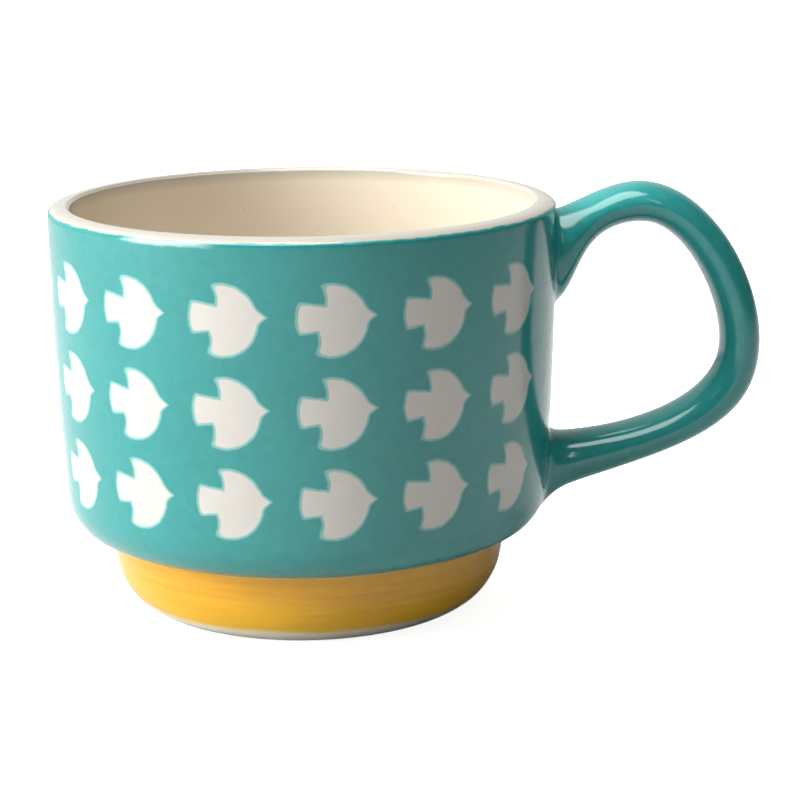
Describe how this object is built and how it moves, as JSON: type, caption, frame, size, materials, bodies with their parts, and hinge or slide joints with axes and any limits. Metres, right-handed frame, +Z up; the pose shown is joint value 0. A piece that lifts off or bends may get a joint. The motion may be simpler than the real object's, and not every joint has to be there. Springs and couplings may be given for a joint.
{
  "type": "stoneware mug",
  "caption": "Straight-sided glazed stoneware mug with a rounded shoulder, a narrower stacking foot and a loop handle.",
  "frame": {"origin": "on the cup's axis, on the plane that the foot ring stands on, just under the glazed disc of the underside", "axes": "+Z up along the cup's axis, +X from the axis towards the handle, +Y across the handle"},
  "size_m": [0.136, 0.096, 0.0808],
  "materials": {
    "stoneware": "matt unglazed off-white stoneware",
    "cream_glaze": "glossy warm cream glaze",
    "turquoise_glaze": "satin-gloss turquoise glaze with off-white birds in rows",
    "yellow_glaze": "glossy ochre-yellow glaze, brushed on",
    "clear_glaze": "thin clear glaze over pale clay"
  },
  "bodies": {
    "root": {"cup_body": "stoneware", "handle": "stoneware", "upper_slip_seam": "stoneware", "lower_slip_seam": "stoneware", "liner_glaze": "cream_glaze", "wall_glaze": "turquoise_glaze", "handle_glaze": "turquoise_glaze", "foot_glaze": "yellow_glaze", "underside_glaze": "clear_glaze"}
  },
  "joints": []
}
